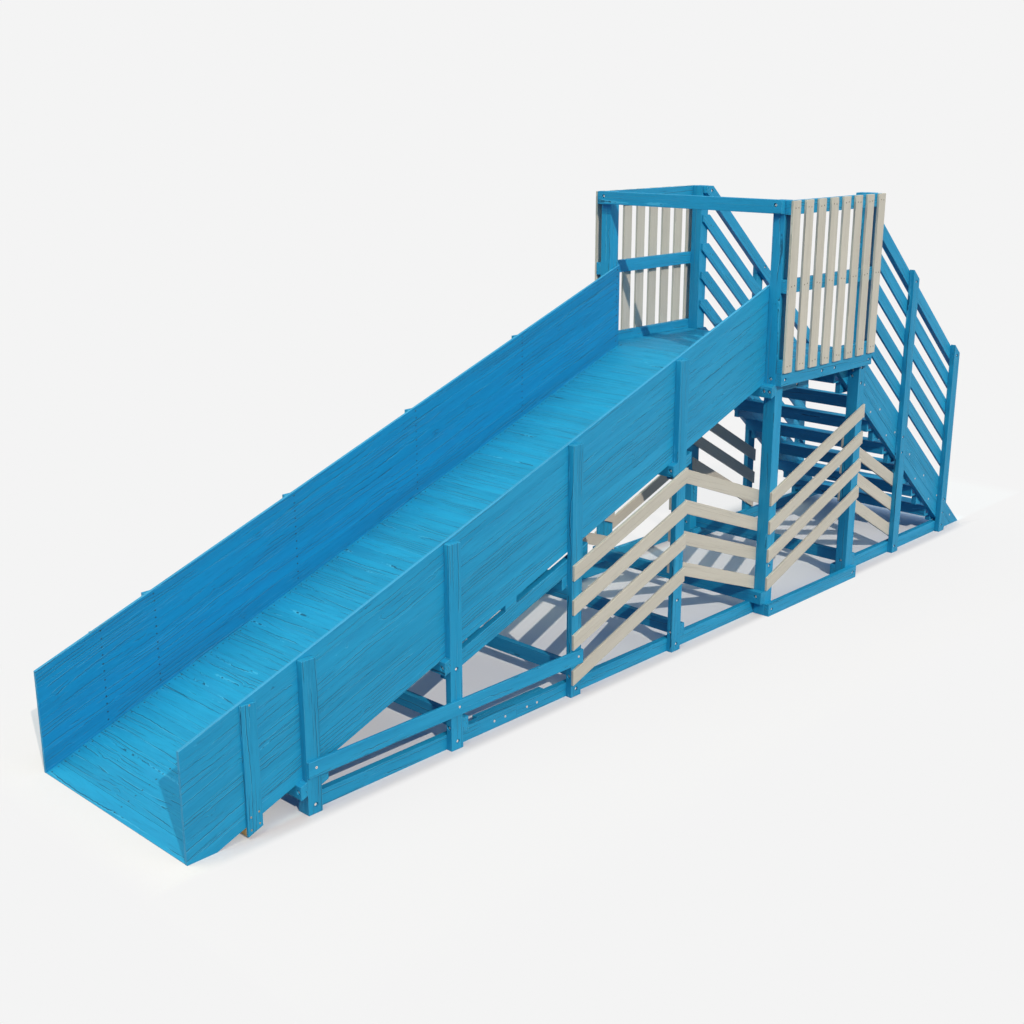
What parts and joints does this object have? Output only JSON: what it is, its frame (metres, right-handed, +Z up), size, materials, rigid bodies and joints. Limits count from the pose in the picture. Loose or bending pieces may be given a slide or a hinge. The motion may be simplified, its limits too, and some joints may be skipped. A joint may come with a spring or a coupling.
{
  "type": "toboggan slide",
  "caption": "Blue stained wooden toboggan slide with board walls, a slatted platform, lattice sides and a flight of stairs.",
  "frame": {"origin": "on the ground, at the middle of the length and of the width", "axes": "+X from the chute's exit towards the foot of the stairs, +Y to the right of a rider going down, +Z up"},
  "size_m": [8.3412, 1.7898, 3.0636],
  "materials": {
    "blue_stain": "satin",
    "blue_stain_shaded": "satin",
    "cream_paint": "satin",
    "bare_spruce": "matte"
  },
  "bodies": {
    "root": {"base_beam_1": "blue_stain_shaded", "base_beam_2": "blue_stain_shaded", "base_beam_3": "blue_stain_shaded", "base_beam_4": "blue_stain_shaded", "base_beam_5": "blue_stain_shaded", "base_splice_left": "blue_stain", "base_splice_right": "blue_stain", "chute_floor": "blue_stain", "chute_joist_1": "blue_stain_shaded", "chute_joist_2": "blue_stain_shaded", "chute_joist_3": "blue_stain_shaded", "chute_joist_4": "blue_stain_shaded", "chute_joist_5": "blue_stain_shaded", "chute_wall_left": "blue_stain", "chute_wall_right": "blue_stain", "exit_batten_left": "blue_stain", "exit_batten_right": "blue_stain", "exit_joist": "bare_spruce", "guard_board_left": "blue_stain", "guard_board_right": "blue_stain", "platform_deck": "blue_stain", "platform_railing_left": "cream_paint", "platform_railing_right": "cream_paint", "platform_rim_left": "blue_stain", "platform_rim_right": "blue_stain", "side_beam_left": "blue_stain", "side_beam_right": "blue_stain", "slide_base_rail_left": "blue_stain", "slide_base_rail_right": "blue_stain", "slide_post_1_left": "blue_stain", "slide_post_1_right": "blue_stain", "slide_post_2_left": "blue_stain", "slide_post_2_right": "blue_stain", "slide_post_3_left": "blue_stain", "slide_post_3_right": "blue_stain", "slide_post_4_left": "blue_stain", "slide_post_4_right": "blue_stain", "splice_beam_left": "blue_stain", "splice_beam_right": "blue_stain", "stair_base_rail_left": "blue_stain", "stair_base_rail_right": "blue_stain", "stair_railing_left": "blue_stain", "stair_railing_right": "blue_stain", "stair_stringer_left": "blue_stain", "stair_stringer_right": "blue_stain", "top_beam": "blue_stain", "tower_base_rail_left": "blue_stain", "tower_base_rail_right": "blue_stain", "tower_post_back_left": "blue_stain", "tower_post_back_right": "blue_stain", "tower_post_front_left": "blue_stain", "tower_post_front_right": "blue_stain", "tread_1": "blue_stain", "tread_2": "blue_stain", "tread_3": "blue_stain", "tread_4": "blue_stain", "tread_5": "blue_stain", "tread_6": "blue_stain", "tread_7": "blue_stain"}
  },
  "joints": []
}
